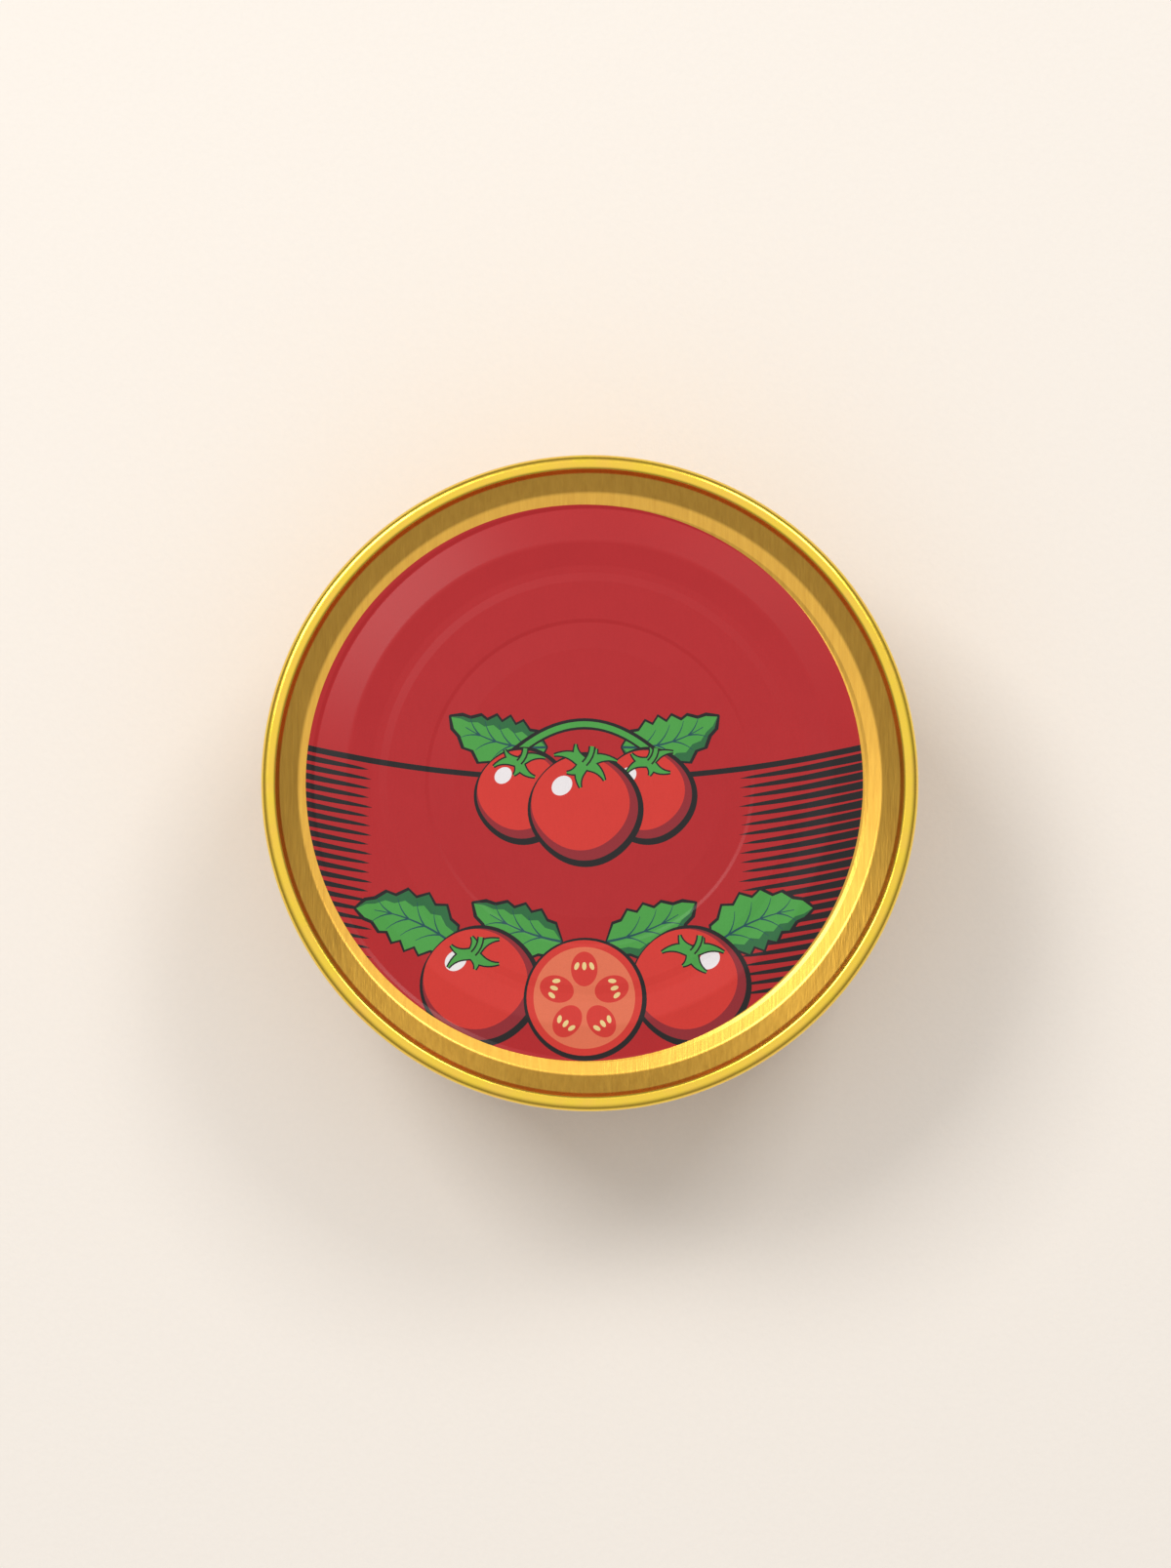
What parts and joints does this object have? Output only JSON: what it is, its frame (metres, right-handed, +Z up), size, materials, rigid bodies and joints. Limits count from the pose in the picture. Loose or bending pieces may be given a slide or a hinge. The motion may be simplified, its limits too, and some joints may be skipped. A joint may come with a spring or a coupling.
{
  "type": "tuna can",
  "caption": "Round shallow food can, shut, with a drawn gold-lacquered body and a double-seamed end whose stepped panel is printed with red fruit.",
  "frame": {"origin": "middle of the ring that the can stands on", "axes": "+Z up, along the axis that the body and its end are turned about; the print on the end reads upright from -Y"},
  "size_m": [0.0864, 0.0864, 0.038],
  "materials": {
    "gold_body": "transparent gold lacquer over drawn tinplate, satin",
    "gold_end": "transparent gold lacquer over rolled tinplate, fine straight grain, lemon yellow and smooth on the seam",
    "print": "printed inks under clear varnish on the end panel, semi-gloss"
  },
  "bodies": {
    "root": {"can_body": "gold_body", "can_end": "gold_end"}
  },
  "joints": []
}
